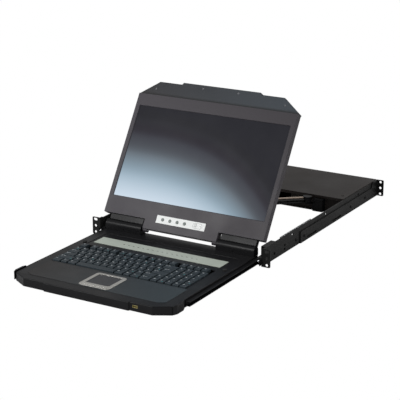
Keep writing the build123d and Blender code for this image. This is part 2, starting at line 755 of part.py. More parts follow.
# Touchpad: silver frame, pad and two buttons
pad_left = pad_frame_middle[0] - pad_size[0] / 2
pad_y = pad_frame_middle[1] + pad_frame[1] / 2 - pad_back_margin - pad_size[1] / 2
button_y = pad_y - pad_size[1] / 2 - 1.6 - pad_button_depth / 2
button_width = pad_size[0] / 2 - 0.6
frame_top = deck_top + palm_proud + 1.0
with BuildPart() as touchpad_frame:
    with BuildSketch(Plane.XY.offset(deck_top + palm_proud)):
        with Locations(pad_frame_middle):
            RectangleRounded(pad_frame[0], pad_frame[1], 8)
        with Locations((pad_frame_middle[0], pad_y)):
            RectangleRounded(pad_size[0], pad_size[1], 3, mode=Mode.SUBTRACT)
        with Locations((pad_frame_middle[0], button_y)):
            Rectangle(pad_size[0], pad_button_depth, mode=Mode.SUBTRACT)
    extrude(amount=1.0)
    chamfer(touchpad_frame.faces().sort_by(Axis.Z)[-1].outer_wire().edges(), 0.5)
    with BuildSketch(Plane.XY.offset(deck_top + palm_proud)):
        with Locations(pad_frame_middle):
            RectangleRounded(pad_frame[0] - 4.6, pad_frame[1] - 4.6, 4.7)
            RectangleRounded(pad_frame[0] - 7.6, pad_frame[1] - 7.6, 3.2, mode=Mode.SUBTRACT)
    extrude(amount=-palm_proud - deck_plate - 0.8)
keep(touchpad_frame.part, "touchpad_frame")

pad_floor = deck_top + palm_proud - 0.6
with BuildPart() as touchpad:
    with BuildSketch(Plane.XY.offset(pad_floor - 1.0)):
        with Locations(pad_frame_middle):
            RectangleRounded(pad_frame[0] - 7.8, pad_frame[1] - 7.8, 3)
        with Locations((pad_frame_middle[0], button_y)):
            Rectangle(pad_size[0] - 2, pad_button_depth - 2, mode=Mode.SUBTRACT)
    extrude(amount=1.6)
    with BuildSketch(Plane.XY.offset(pad_floor + 0.6)):
        with Locations((pad_frame_middle[0], pad_y)):
            RectangleRounded(pad_size[0] - 0.6, pad_size[1] - 0.6, 2.7)
    extrude(amount=0.3)
keep(touchpad.part, "touchpad")

for side, name in ((-1, "touchpad_button_left"), (1, "touchpad_button_right")):
    with BuildPart() as pad_button:
        with BuildSketch(Plane.XY.offset(pad_floor + 1.3)):
            with Locations((pad_frame_middle[0] + side * (button_width / 2 + 0.4), button_y)):
                Rectangle(button_width - 0.4, pad_button_depth - 0.6)
        extrude(amount=0.9)
        chamfer(pad_button.faces().sort_by(Axis.Z)[-1].edges(), 0.4)
        with BuildSketch(Plane.XY.offset(pad_floor + 1.3)):
            with Locations((pad_frame_middle[0] + side * (button_width / 2 + 0.4), button_y)):
                Rectangle(button_width - 5, pad_button_depth - 4)
        extrude(amount=-2.5)
    keep(pad_button.part, name)

# Keyboard: six rows of tapered caps; a width of 1 is one pitch, a negative one a space
key_rows = (
    (1, -0.5, 1, 1, 1, 1, -0.25, 1, 1, 1, 1, -0.25, 1, 1, 1, 1, -0.5, 1, 1, 1, 1),
    (1,) * 13 + (2,) + (1, 1, 1, 1),
    (1.5,) + (1,) * 12 + (1.5,) + (1, 1, 1, 1),
    (1.75,) + (1,) * 11 + (-2.25,) + (1, 1, 1, 1),
    (2.25,) + (1,) * 10 + (1.75, 1) + (1, 1, 1, 1),
    (1.25, 1, 1.25, -5.5, 1.25, 1, 1.25, 1.5, 1) + (1, 1, 1, 1),
)


def key_at(start, width, row):
    """A key's middle and width from its left edge in pitches, its width in pitches and its row."""
    row_y = keyboard_back - (row + 0.5) * key_pitch_y + key_gap / 2 - (function_row_gap if row else 0)
    middle_x = keyboard_left + (start + width / 2) * key_pitch_x - key_gap / 2
    return (middle_x, row_y), width * key_pitch_x - key_gap


fixed_keys = {"keys_function_row": [], "keys_main": []}
for row, widths in enumerate(key_rows):
    place = 0
    for width in widths:
        if width > 0:
            fixed_keys["keys_main" if row else "keys_function_row"].append(key_at(place, width, row))
        place += abs(width)
moving_keys = {"enter_key": [key_at(12.75, 2.25, 3)], "space_bar": [key_at(3.5, 5.5, 5)]}

# Base plate on six posts, with a guide hole for the stem of each moving key
base_top = pan_top - 4.6
base_plate = 1.4
stem_width = 4.0
with BuildPart() as keyboard_base:
    with BuildSketch(Plane.XY.offset(base_top)):
        with Locations(keyboard_middle):
            RectangleRounded(keyboard_width + 12, keyboard_depth + 10, 2)
        with Locations(*[keys[0][0] for keys in moving_keys.values()]):
            Rectangle(stem_width + 0.4, stem_width + 0.4, mode=Mode.SUBTRACT)
    extrude(amount=-base_plate)
    with Locations(*[(post_x, keyboard_middle[1] + post_y, base_top - base_plate)
                     for post_x in (-150, 0, 150) for post_y in (-60, 60)]):
        Cylinder(3, base_top - base_plate - tray_bottom - tray_wall,
                 align=(Align.CENTER, Align.CENTER, Align.MAX))
keep(keyboard_base.part, "keyboard_base")


def key_caps(keys, name, stem_end):
    """Tapered key caps, each with a stem down to the height stem_end."""
    with BuildPart() as caps:
        with BuildSketch(Plane.XY.offset(key_top - key_height)):
            for middle, width in keys:
                with Locations(middle):
                    Rectangle(width, key_pitch_y - key_gap)
        extrude(amount=key_height, taper=degrees(key_taper / key_height))
        with BuildSketch(Plane.XY.offset(stem_end)):
            for middle, width in keys:
                with Locations(middle):
                    Rectangle(stem_width, stem_width)
        extrude(amount=key_top - key_height - stem_end)
    keep(caps.part, name)


for name, keys in fixed_keys.items():
    key_caps(keys, name, base_top)
for name, keys in moving_keys.items():
    key_caps(keys, name, base_top - base_plate)

# Indicator strip with its row of lamps, in the deck's shallow recess
strip_floor = deck_top - recess_depth
lamp_pitch = 13.0
lamp_count = 16
with BuildPart() as indicator_strip:
    with BuildSketch(Plane.XY.offset(strip_floor)):
        with Locations((0, strip_y)):
            Rectangle(*strip_size)
            with GridLocations(lamp_pitch, 1, lamp_count, 1):
                Rectangle(5, 3, mode=Mode.SUBTRACT)
    extrude(amount=recess_depth + 0.3)
keep(indicator_strip.part, "indicator_strip")

with BuildPart() as indicator_lamps:
    with BuildSketch(Plane.XY.offset(strip_floor)):
        with Locations((0, strip_y)):
            with GridLocations(lamp_pitch, 1, lamp_count, 1):
                Rectangle(5, 3)
    extrude(amount=recess_depth)
keep(indicator_lamps.part, "indicator_lamps")

# Soft bumpers that the closed lid rests on
with BuildPart() as deck_bumpers:
    for spot in bumper_spots:
        with Locations((spot[0], spot[1], deck_top)):
            Cylinder(bumper_r, 2.6, align=(Align.CENTER, Align.CENTER, Align.MIN))
            Cylinder(bumper_r - 1.5, deck_plate + 1, align=(Align.CENTER, Align.CENTER, Align.MAX))
    fillet(deck_bumpers.faces().group_by(Axis.Z)[-1].edges(), 1.2)
keep(deck_bumpers.part, "deck_bumpers")

# Hinge barrels on the deck, round on top so that the lid's arms pass over them
with BuildPart() as hinge_barrel:
    with BuildSketch(Plane.YZ.offset(barrel_inner)):
        with Locations((hinge_y, hinge_z)):
            Circle(barrel_r)
        with Locations((hinge_y, (hinge_z + deck_top) / 2)):
            Rectangle(2 * barrel_r, hinge_z - deck_top)
        with Locations((hinge_y, hinge_z)):
            Circle(pin_r + pin_clearance, mode=Mode.SUBTRACT)
    extrude(amount=barrel_outer - barrel_inner)
    with BuildSketch(Plane.YZ.offset(barrel_inner + pin_length)):
        with Locations((hinge_y, hinge_z)):
            Circle(pin_r + 2)
    extrude(amount=barrel_outer - barrel_inner - pin_length)
    with BuildSketch(Plane.XZ.offset(-(hinge_y - barrel_r))):
        with Locations((148, 4)):
            Circle(2.6)
    extrude(amount=-2.0, mode=Mode.SUBTRACT)
    with BuildSketch(Plane.XZ.offset(-(hinge_y - barrel_r + 2.0))):
        with Locations((148, 4)):
            Circle(2.2)
    extrude(amount=1.2)
    mirror(about=Plane.YZ)
keep(hinge_barrel.part, "hinge_barrels")

# Hinge pins, fixed in the lid's knuckles
with BuildPart() as hinge_pin:
    with BuildSketch(Plane.YZ.offset(middle_lid_half - knuckle_length)):
        with Locations((hinge_y, hinge_z)):
            Circle(pin_r)
    extrude(amount=knuckle_length + barrel_inner - middle_lid_half + pin_length - 1)
    mirror(about=Plane.YZ)
keep(hinge_pin.part, "hinge_pins")


# The lid seen from the front, without its lip
lid_corners = (
    (-lid_half_width, notch_v),
    (-middle_lid_half, notch_v),
    (-middle_lid_half, middle_v),
    (middle_lid_half, middle_v),
    (middle_lid_half, notch_v),
    (lid_half_width, notch_v),
    (lid_half_width, fold_v),
    (-lid_half_width, fold_v),
)

# Lid cover: the hollow back shell with its hinge knuckles
cover_front = lid_face - bezel_plate
with BuildPart() as lid_cover:
    with BuildSketch(lid_plane.offset(lid_back)):
        Polygon(*lid_corners, align=None)
    extrude(amount=cover_front - lid_back)
    back_edges = lid_cover.faces().filter_by(lid_plane).sort_by(lambda face: face.center().Y)[-1].edges()
    fillet(back_edges.filter_by(Axis.X, reverse=True), 3)
    lid_block((-lid_half_width + lid_wall, lid_half_width - lid_wall),
              (notch_v + lid_wall, fold_v - lid_wall), (lid_back + lid_wall, cover_front), mode=Mode.SUBTRACT)
    lid_block((-middle_lid_half + lid_wall, middle_lid_half - lid_wall),
              (knuckle_r + 3, notch_v + lid_wall), (lid_back + lid_wall, cover_front),
              mode=Mode.SUBTRACT)
    for side in (-1, 1):
        with BuildSketch(Plane.YZ.offset(side * (middle_lid_half - knuckle_length / 2))):
            with Locations((hinge_y, hinge_z)):
                Circle(knuckle_r)
        extrude(amount=knuckle_length / 2, both=True)
        with BuildSketch(Plane.YZ.offset(side * (middle_lid_half - knuckle_length / 2))):
            with Locations((hinge_y, hinge_z)):
                Circle(pin_r)
        extrude(amount=knuckle_length / 2, both=True, mode=Mode.SUBTRACT)
    with BuildSketch(lid_plane.offset(lid_back)):
        with Locations((0, 180)):
            with GridLocations(14, 1, 16, 1):
                SlotOverall(40, 3, rotation=90)
    extrude(amount=lid_wall, mode=Mode.SUBTRACT)
keep(lid_cover.part, "lid_cover")

# Arms of the lid beside its middle section, over the barrels
arm_inner_v = barrel_r + 0.6
with BuildPart() as lid_hinge_arm:
    lid_block((barrel_inner + 4, barrel_outer - 3), (arm_inner_v, notch_v), (lid_back + 1, 2.0))
    fillet(lid_hinge_arm.edges().filter_by(Axis.X).sort_by(lambda edge: edge.center().Z)[:1], 2)
    mirror(about=Plane.YZ)
keep(lid_hinge_arm.part, "lid_hinge_arms")

# Lip along the far edge of the lid, with the handle section in the middle
with BuildPart() as lid_lip:
    with BuildSketch(lid_plane.offset(lid_back)):
        with BuildLine():
            Polyline(
                (-lid_half_width, fold_v),
                (-lid_half_width, lip_v - lip_cut_v),
                (-lid_half_width + lip_cut_x, lip_v),
                (-middle_half_width, lip_v),
                (-middle_half_width + 3, lip_middle_v),
                (middle_half_width - 3, lip_middle_v),
                (middle_half_width, lip_v),
                (lid_half_width - lip_cut_x, lip_v),
                (lid_half_width, lip_v - lip_cut_v),
                (lid_half_width, fold_v),
                close=True,
            )
        make_face()
    extrude(amount=lip_face - lid_back)
    lip_edges = lid_lip.edges().filter_by(lambda edge: lid_plane.to_local_coords(edge.center()).Y > fold_v + 4)
    fillet(lip_edges.filter_by(lambda edge: abs(lid_plane.to_local_coords(edge.center()).Z - lip_face) < 0.1), 1.5)
    lid_block((-150, 150), (fold_v, lip_v - 12), (lid_back + 2, lip_face - 2), mode=Mode.SUBTRACT)
    with BuildSketch(lid_plane.offset(lip_face - 0.8)):
        with Locations(*lip_screws_at):
            Circle(lip_screw_r + 0.3)
    extrude(amount=0.8, mode=Mode.SUBTRACT)
keep(lid_lip.part, "lid_lip")

with BuildPart() as lip_screws:
    with BuildSketch(lid_plane.offset(lip_face - 0.8)):
        with Locations(*lip_screws_at):
            Circle(lip_screw_r)
            RegularPolygon(1.0, 6, mode=Mode.SUBTRACT)
    extrude(amount=0.5)
keep(lip_screws.part, "lip_screws")

# Screen frame on the front of the lid
with BuildPart() as lid_bezel:
    with BuildSketch(lid_plane.offset(cover_front)):
        Polygon(*lid_corners, align=None)
        with Locations((0, screen_v + screen_height / 2)):
            Rectangle(screen_width, screen_height, mode=Mode.SUBTRACT)
    extrude(amount=bezel_plate)
    opening = lid_bezel.faces().sort_by(lambda face: lid_plane.to_local_coords(face.center()).Z)[-1]
    chamfer(opening.inner_wires()[0].edges(), 1.2)
    with BuildSketch(lid_plane.offset(cover_front)):
        with Locations(*[(x, osd_button_v) for x in osd_button_x], (power_x, power_v)):
            Circle(osd_button_r + 0.25)
    extrude(amount=bezel_plate, mode=Mode.SUBTRACT)
keep(lid_bezel.part, "lid_bezel")

# Screen behind the frame
with BuildPart() as lcd_panel:
    lid_block((-screen_width / 2 - 3, screen_width / 2 + 3),
              (screen_v - 3, screen_v + screen_height + 3), (cover_front - 1.4, cover_front))
keep(lcd_panel.part, "lcd_panel")

with BuildPart() as lcd_back:
    lid_block((-screen_width / 2 - 4, screen_width / 2 + 4),
              (screen_v - 5, screen_v + screen_height + 5), (-4, cover_front - 1.4))
    chamfer(lcd_back.faces().sort_by(lambda face: face.center().Y)[-1].edges(), 1.5)
    lid_block((-60, 60), (screen_v + 20, screen_v + 70), (lid_back + lid_wall + 0.6, -4))
keep(lcd_back.part, "lcd_back")

# White control plate below the screen with its buttons and board
with BuildPart() as osd_plate:
    with BuildSketch(lid_plane.offset(lid_face)):
        with Locations((osd_middle_x, (osd_v[0] + osd_v[1]) / 2)):
            RectangleRounded(osd_width, osd_v[1] - osd_v[0], 1)
        with Locations(*[(x, osd_button_v) for x in osd_button_x], (power_x, power_v)):
            Circle(osd_button_r + 0.25, mode=Mode.SUBTRACT)
        with Locations((lamp_x, osd_button_v)):
            Circle(lamp_r, mode=Mode.SUBTRACT)
    extrude(amount=osd_plate_thick)
keep(osd_plate.part, "osd_plate")

board_front = 2.0
with BuildPart() as osd_board:
    lid_block((osd_middle_x - osd_width / 2, osd_middle_x + osd_width / 2), (osd_v[0], osd_v[1] + 8),
              (board_front - 1.6, board_front))
    for post_x in (-60, 0, 54):
        lid_block((post_x - 2, post_x + 2), (osd_v[1] + 3, osd_v[1] + 7),
                  (lid_back + lid_wall, board_front - 1.6))
keep(osd_board.part, "osd_board")

with BuildPart() as power_lamp:
    with BuildSketch(lid_plane.offset(lid_face)):
        with Locations((lamp_x, osd_button_v)):
            Circle(lamp_r)
    extrude(amount=osd_plate_thick + 0.1)
keep(power_lamp.part, "power_lamp")

names = ("osd_button_1", "osd_button_2", "osd_button_3", "osd_button_4", "screen_power_button")
spots = [(x, osd_button_v) for x in osd_button_x] + [(power_x, power_v)]
for name, spot in zip(names, spots):
    with BuildPart() as control_button:
        with BuildSketch(lid_plane.offset(board_front + osd_travel + 0.3)):
            with Locations(spot):
                Circle(osd_button_r)
        extrude(amount=lid_face + osd_plate_thick + osd_proud - board_front - osd_travel - 0.3)
        rim = control_button.faces().sort_by(lambda face: face.center().Y)[0].edges()
        fillet(rim, 0.5)
    keep(control_button.part, name)
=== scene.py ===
# %% [markdown]
# # Rackmount screen and keyboard drawer
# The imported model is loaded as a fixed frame, in metres: +X right, +Y back into the rack, +Z up, with the
# origin at the middle of the front ears.  Every CAD node keeps its shape and gets its finish here.

# %% Load the frame
import math

import bmesh
import bpy
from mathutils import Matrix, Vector


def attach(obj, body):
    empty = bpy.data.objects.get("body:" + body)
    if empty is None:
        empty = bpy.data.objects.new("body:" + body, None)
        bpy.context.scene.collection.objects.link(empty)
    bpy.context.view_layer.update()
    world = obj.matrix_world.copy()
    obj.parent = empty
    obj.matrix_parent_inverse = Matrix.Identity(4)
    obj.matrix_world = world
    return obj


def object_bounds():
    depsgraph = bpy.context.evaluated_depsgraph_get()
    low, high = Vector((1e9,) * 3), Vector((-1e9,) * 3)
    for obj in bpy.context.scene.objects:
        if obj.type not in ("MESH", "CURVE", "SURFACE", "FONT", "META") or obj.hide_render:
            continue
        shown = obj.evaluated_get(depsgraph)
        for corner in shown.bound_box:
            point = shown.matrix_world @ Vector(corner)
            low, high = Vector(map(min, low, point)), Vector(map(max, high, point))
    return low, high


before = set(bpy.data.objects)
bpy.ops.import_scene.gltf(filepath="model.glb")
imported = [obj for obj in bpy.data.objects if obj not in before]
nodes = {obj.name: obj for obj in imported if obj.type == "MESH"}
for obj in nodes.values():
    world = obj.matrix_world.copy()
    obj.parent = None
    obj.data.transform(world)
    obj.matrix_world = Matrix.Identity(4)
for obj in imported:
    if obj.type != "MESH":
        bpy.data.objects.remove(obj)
cad_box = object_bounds()
scene = bpy.context.scene
MM = 0.001
print("nodes", len(nodes), "box", cad_box)

# %% [markdown]
# ## Camera
# The camera stands where the photographer's did.  Its azimuth, elevation, distance and lens were fitted to
# the ears, the rails and the screen corners.

# %% Camera
azimuth = math.radians(30.59)
elevation = math.radians(17.34)
distance = 3.0987
target = Vector((0.05908, 0.0, 0.11037))
lens_over_width = 1360.18 / 400

toward_camera = Vector((
    math.sin(azimuth) * math.cos(elevation),
    -math.cos(azimuth) * math.cos(elevation),
    math.sin(elevation),
))
camera_data = bpy.data.cameras.new("camera")
camera_data.sensor_width = 36
camera_data.lens = 36 * lens_over_width
camera = bpy.data.objects.new("camera", camera_data)
camera.location = target + distance * toward_camera
camera.rotation_euler = (-toward_camera).to_track_quat("-Z", "Y").to_euler()
scene.collection.objects.link(camera)
scene.camera = camera
scene.view_settings.view_transform = "Standard"
print("camera at", [round(value, 3) for value in camera.location], "lens", round(camera_data.lens, 1))

# %% [markdown]
# ## Light and floor
# A white room: an even sky, a broad key light from the front left, a softer one from the right and one from
# behind.  The floor lies just under the drawer and looks pure white to the camera.

# %% Light and floor
sky_strength = 0.42
floor_gap = 0.6 * MM
floor_reach = 9.0

world = bpy.data.worlds.new("room")
scene.world = world
world.use_nodes = True
world.node_tree.nodes["Background"].inputs["Color"].default_value = (1.0, 1.0, 1.0, 1)
world.node_tree.nodes["Background"].inputs["Strength"].default_value = sky_strength


def area_light(name, place, size, power):
    """A soft rectangular light that points at the camera's target; power is in watts."""
    data = bpy.data.lights.new(name, "AREA")
    data.shape = "RECTANGLE"
    data.size, data.size_y = size
    data.energy = power
    light = bpy.data.objects.new(name, data)
    light.location = place
    light.rotation_euler = (target - Vector(place)).to_track_quat("-Z", "Y").to_euler()
    scene.collection.objects.link(light)


area_light("key_light", (-1.3, -2.3, 1.7), (1.4, 1.0), 48)
area_light("side_light", (2.4, -0.4, 1.2), (1.2, 0.8), 8)
area_light("back_light", (0.4, 2.6, 1.9), (2.0, 0.7), 16)

floor_z = cad_box[0][2] - floor_gap
floor_mesh = bpy.data.meshes.new("floor")
floor_corners = [(x * floor_reach, y * floor_reach, floor_z) for x, y in ((-1, -1), (1, -1), (1, 1), (-1, 1))]
floor_mesh.from_pydata(floor_corners, [], [(0, 1, 2, 3)])
floor = bpy.data.objects.new("floor", floor_mesh)
scene.collection.objects.link(floor)

floor_finish = bpy.data.materials.new("floor_white")
floor_finish.use_nodes = True
tree = floor_finish.node_tree
tree.nodes.clear()
output = tree.nodes.new("ShaderNodeOutputMaterial")
blend = tree.nodes.new("ShaderNodeMixShader")
paint = tree.nodes.new("ShaderNodeBsdfDiffuse")
paint.inputs["Color"].default_value = (0.82, 0.82, 0.82, 1)
glow = tree.nodes.new("ShaderNodeEmission")
glow.inputs["Color"].default_value = (1, 1, 1, 1)
path = tree.nodes.new("ShaderNodeLightPath")
tree.links.new(path.outputs["Is Camera Ray"], blend.inputs["Fac"])
tree.links.new(paint.outputs[0], blend.inputs[1])
tree.links.new(glow.outputs[0], blend.inputs[2])
tree.links.new(blend.outputs[0], output.inputs["Surface"])
floor_mesh.materials.append(floor_finish)
print("floor at", round(floor_z, 4))

# %% [markdown]
# ## Shared surface effects
# One node group serves every finish: fine grain in the bump, slow mottling of the colour, a lighter line
# along the edges that is partly wear and partly painted highlight, and a rounded look of each edge from the
# Bevel node.

# %% Surface effect group
def value_socket(group, name, default, kind="NodeSocketFloat"):
    """Adds an input to a group and sets its default."""
    socket = group.interface.new_socket(name, in_out="INPUT", socket_type=kind)
    socket.default_value = default


def make_surface_group():
    """Colour, roughness and normal of a moulded, painted or metal surface."""
    group = bpy.data.node_groups.new("surface_detail", "ShaderNodeTree")
    value_socket(group, "Color", (0.1, 0.1, 0.1, 1), "NodeSocketColor")
    value_socket(group, "Edge Color", (0.3, 0.3, 0.3, 1), "NodeSocketColor")
    value_socket(group, "Edge Wear And Highlight", 0.3)
    value_socket(group, "Edge Radius", 0.0005)
    value_socket(group, "Roughness", 0.5)
    value_socket(group, "Mottle", 0.12)
    value_socket(group, "Grain Scale", 900.0)
    value_socket(group, "Grain Depth", 0.15)
    value_socket(group, "Stretch", (1.0, 1.0, 1.0), "NodeSocketVector")
    group.interface.new_socket("Color", in_out="OUTPUT", socket_type="NodeSocketColor")
    group.interface.new_socket("Roughness", in_out="OUTPUT", socket_type="NodeSocketFloat")
    group.interface.new_socket("Normal", in_out="OUTPUT", socket_type="NodeSocketVector")

    add = group.nodes.new
    link = group.links.new
    source = add("NodeGroupInput")
    result = add("NodeGroupOutput")
    place = add("ShaderNodeTexCoord")
    stretched = add("ShaderNodeVectorMath")
    stretched.operation = "MULTIPLY"
    link(place.outputs["Object"], stretched.inputs[0])
    link(source.outputs["Stretch"], stretched.inputs[1])

    # slow changes of tone over the sheet or moulding
    mottle = add("ShaderNodeTexNoise")
    mottle.inputs["Scale"].default_value = 14
    mottle.inputs["Detail"].default_value = 4
    link(place.outputs["Object"], mottle.inputs["Vector"])
    spread = add("ShaderNodeMapRange")
    link(mottle.outputs["Fac"], spread.inputs["Value"])
    spread.inputs["From Min"].default_value = 0.3
    spread.inputs["From Max"].default_value = 0.7
    spread.inputs["To Min"].default_value = -0.5
    spread.inputs["To Max"].default_value = 0.5
    amount = add("ShaderNodeMath")
    amount.operation = "MULTIPLY_ADD"
    link(spread.outputs["Result"], amount.inputs[0])
    link(source.outputs["Mottle"], amount.inputs[1])
    amount.inputs[2].default_value = 1.0
    toned = add("ShaderNodeVectorMath")
    toned.operation = "SCALE"
    link(source.outputs["Color"], toned.inputs[0])
    link(amount.outputs[0], toned.inputs["Scale"])

    # edges: where the rounded normal leaves the flat one; there the colour turns lighter, partly wear and
    # partly painted highlight
    rounded = add("ShaderNodeBevel")
    rounded.samples = 4
    link(source.outputs["Edge Radius"], rounded.inputs["Radius"])
    geometry = add("ShaderNodeNewGeometry")
    agreement = add("ShaderNodeVectorMath")
    agreement.operation = "DOT_PRODUCT"
    link(rounded.outputs["Normal"], agreement.inputs[0])
    link(geometry.outputs["Normal"], agreement.inputs[1])
    edge = add("ShaderNodeMapRange")
    link(agreement.outputs["Value"], edge.inputs["Value"])
    edge.inputs["From Min"].default_value = 0.99
    edge.inputs["From Max"].default_value = 0.80
    edge.inputs["To Min"].default_value = 0.0
    edge.inputs["To Max"].default_value = 1.0
    wear_and_highlight_amount = add("ShaderNodeMath")
    wear_and_highlight_amount.operation = "MULTIPLY"
    link(edge.outputs["Result"], wear_and_highlight_amount.inputs[0])
    link(source.outputs["Edge Wear And Highlight"], wear_and_highlight_amount.inputs[1])
    mixed = add("ShaderNodeMix")
    mixed.data_type = "RGBA"
    link(wear_and_highlight_amount.outputs[0], mixed.inputs["Factor"])
    link(toned.outputs["Vector"], mixed.inputs["A"])
    link(source.outputs["Edge Color"], mixed.inputs["B"])
    link(mixed.outputs["Result"], result.inputs["Color"])

    # fine grain in the roughness and the bump
    grain = add("ShaderNodeTexNoise")
    grain.inputs["Detail"].default_value = 3
    link(stretched.outputs["Vector"], grain.inputs["Vector"])
    link(source.outputs["Grain Scale"], grain.inputs["Scale"])
    rough = add("ShaderNodeMath")
    rough.operation = "MULTIPLY_ADD"
    link(spread.outputs["Result"], rough.inputs[0])
    rough.inputs[1].default_value = 0.12
    link(source.outputs["Roughness"], rough.inputs[2])
    link(rough.outputs[0], result.inputs["Roughness"])
    bump = add("ShaderNodeBump")
    bump.inputs["Distance"].default_value = 0.0002
    link(grain.outputs["Fac"], bump.inputs["Height"])
    link(source.outputs["Grain Depth"], bump.inputs["Strength"])
    link(rounded.outputs["Normal"], bump.inputs["Normal"])
    link(bump.outputs["Normal"], result.inputs["Normal"])
    return group


surface_group = make_surface_group()
print("group inputs", len(surface_group.interface.items_tree))

# %% [markdown]
# ## Finishes
# `finish` makes a material from the group: a shader whose colour, roughness and normal come from it, with
# metal and clear-coat values set on the shader itself.

# %% Finish function
def finish(name, color, roughness=0.5, metallic=0.0, edge=None, wear_and_highlight=0.25, radius=0.5, mottle=0.12,
           grain=900.0, depth=0.15, stretch=(1, 1, 1), coat=0.0, gloss=0.5):
    """A material named for its real finish; color and edge are linear RGB, radius is in millimetres."""
    material = bpy.data.materials.new(name)
    material.use_nodes = True
    tree = material.node_tree
    shader = tree.nodes["Principled BSDF"]
    detail = tree.nodes.new("ShaderNodeGroup")
    detail.name = "surface_detail"
    detail.node_tree = surface_group
    # the edge colour, lighter than the body, is partly wear and partly painted highlight
    lighter = tuple(min(1.0, channel * 2.2 + 0.03) for channel in color)
    detail.inputs["Color"].default_value = (*color, 1)
    detail.inputs["Edge Color"].default_value = (*(edge or lighter), 1)
    detail.inputs["Edge Wear And Highlight"].default_value = wear_and_highlight
    detail.inputs["Edge Radius"].default_value = radius * MM
    detail.inputs["Roughness"].default_value = roughness
    detail.inputs["Mottle"].default_value = mottle
    detail.inputs["Grain Scale"].default_value = grain
    detail.inputs["Grain Depth"].default_value = depth
    detail.inputs["Stretch"].default_value = stretch
    shader.inputs["Metallic"].default_value = metallic
    shader.inputs["Coat Weight"].default_value = coat
    shader.inputs["Specular IOR Level"].default_value = gloss
    tree.links.new(detail.outputs["Color"], shader.inputs["Base Color"])
    tree.links.new(detail.outputs["Roughness"], shader.inputs["Roughness"])
    tree.links.new(detail.outputs["Normal"], shader.inputs["Normal"])
    return material


def position(tree, axis):
    """One coordinate of the surface in the row frame, in metres."""
    place = tree.nodes.new("ShaderNodeTexCoord")
    split = tree.nodes.new("ShaderNodeSeparateXYZ")
    tree.links.new(place.outputs["Object"], split.inputs[0])
    return split.outputs[axis]


def blend_by(material, axis, low, high, low_color, high_color):
    """The colour runs from low_color to high_color between two places along an axis, in metres."""
    tree = material.node_tree
    ramp = tree.nodes.new("ShaderNodeMapRange")
    tree.links.new(position(tree, axis), ramp.inputs["Value"])
    ramp.inputs["From Min"].default_value = low
    ramp.inputs["From Max"].default_value = high
    mix = tree.nodes.new("ShaderNodeMix")
    mix.data_type = "RGBA"
    mix.inputs["A"].default_value = (*low_color, 1)
    mix.inputs["B"].default_value = (*high_color, 1)
    tree.links.new(ramp.outputs["Result"], mix.inputs["Factor"])
    tree.links.new(mix.outputs["Result"], tree.nodes["surface_detail"].inputs["Color"])


def shade_below(material, axis, low, high):
    """The surface darkens below a height, where a step or a joint shades it."""
    tree = material.node_tree
    ramp = tree.nodes.new("ShaderNodeMapRange")
    tree.links.new(position(tree, axis), ramp.inputs["Value"])
    ramp.inputs["From Min"].default_value = low
    ramp.inputs["From Max"].default_value = high
    ramp.inputs["To Min"].default_value = 0.05
    shaded = tree.nodes.new("ShaderNodeVectorMath")
    shaded.operation = "SCALE"
    detail = tree.nodes["surface_detail"]
    tree.links.new(detail.outputs["Color"], shaded.inputs[0])
    tree.links.new(ramp.outputs["Result"], shaded.inputs["Scale"])
    tree.links.new(shaded.outputs["Vector"], tree.nodes["Principled BSDF"].inputs["Base Color"])


# %% [markdown]
# ## Metal and paint
# Powder-coated rails and chassis, zinc and nickel fittings.  The ports have bright shells round a dark face,
# which begins at their rear end.

# %% Metal and paint
rail_grey = finish("rail_grey_paint", (0.010, 0.010, 0.010), 0.42, wear_and_highlight=0.3, grain=1400, depth=0.25,
                   gloss=0.16)
black_steel = finish("black_powder_coat", (0.006, 0.006, 0.007), 0.4, wear_and_highlight=0.25, grain=1500, depth=0.3,
                     gloss=0.16)
chassis_brown = finish("chassis_brown_grey_coat", (0.028, 0.023, 0.021), 0.55, wear_and_highlight=0.3, grain=1600,
                       depth=0.35, gloss=0.2)
zinc = finish("zinc_plate", (0.55, 0.56, 0.57), 0.32, metallic=1.0, wear_and_highlight=0.2, grain=500, stretch=(1, 6, 1))
silver = finish("silver_satin", (0.47, 0.46, 0.43), 0.3, metallic=0.6, wear_and_highlight=0.3, radius=0.8, grain=700,
                stretch=(8, 1, 1))
port_gold = finish("port_tongue_gold", (0.55, 0.47, 0.20), 0.35, metallic=0.5, wear_and_highlight=0.2)
screw_dark = finish("screw_dark_nickel", (0.16, 0.16, 0.17), 0.35, metallic=1.0, wear_and_highlight=0.2)
port_shell = finish("port_shell_nickel", (0.5, 0.5, 0.5), 0.35, metallic=0.8, wear_and_highlight=0.1)
port_end = cad_box[1][1]
blend_by(port_shell, "Y", port_end - 0.5 * MM, port_end - 0.2 * MM, (0.5, 0.5, 0.5), (0.01, 0.01, 0.012))
print("metal finishes made")

# %% [markdown]
# ## Plastics
# The lid runs from a lighter violet grey at its left to a darker tone at its right, and the lip and the palm
# rest from dark grey to a bluer tone, as the light in the photograph falls.

# %% Plastics
fold_shade = (293.0 * MM, 298.5 * MM)      # heights between which the lip's shadow at the fold fades
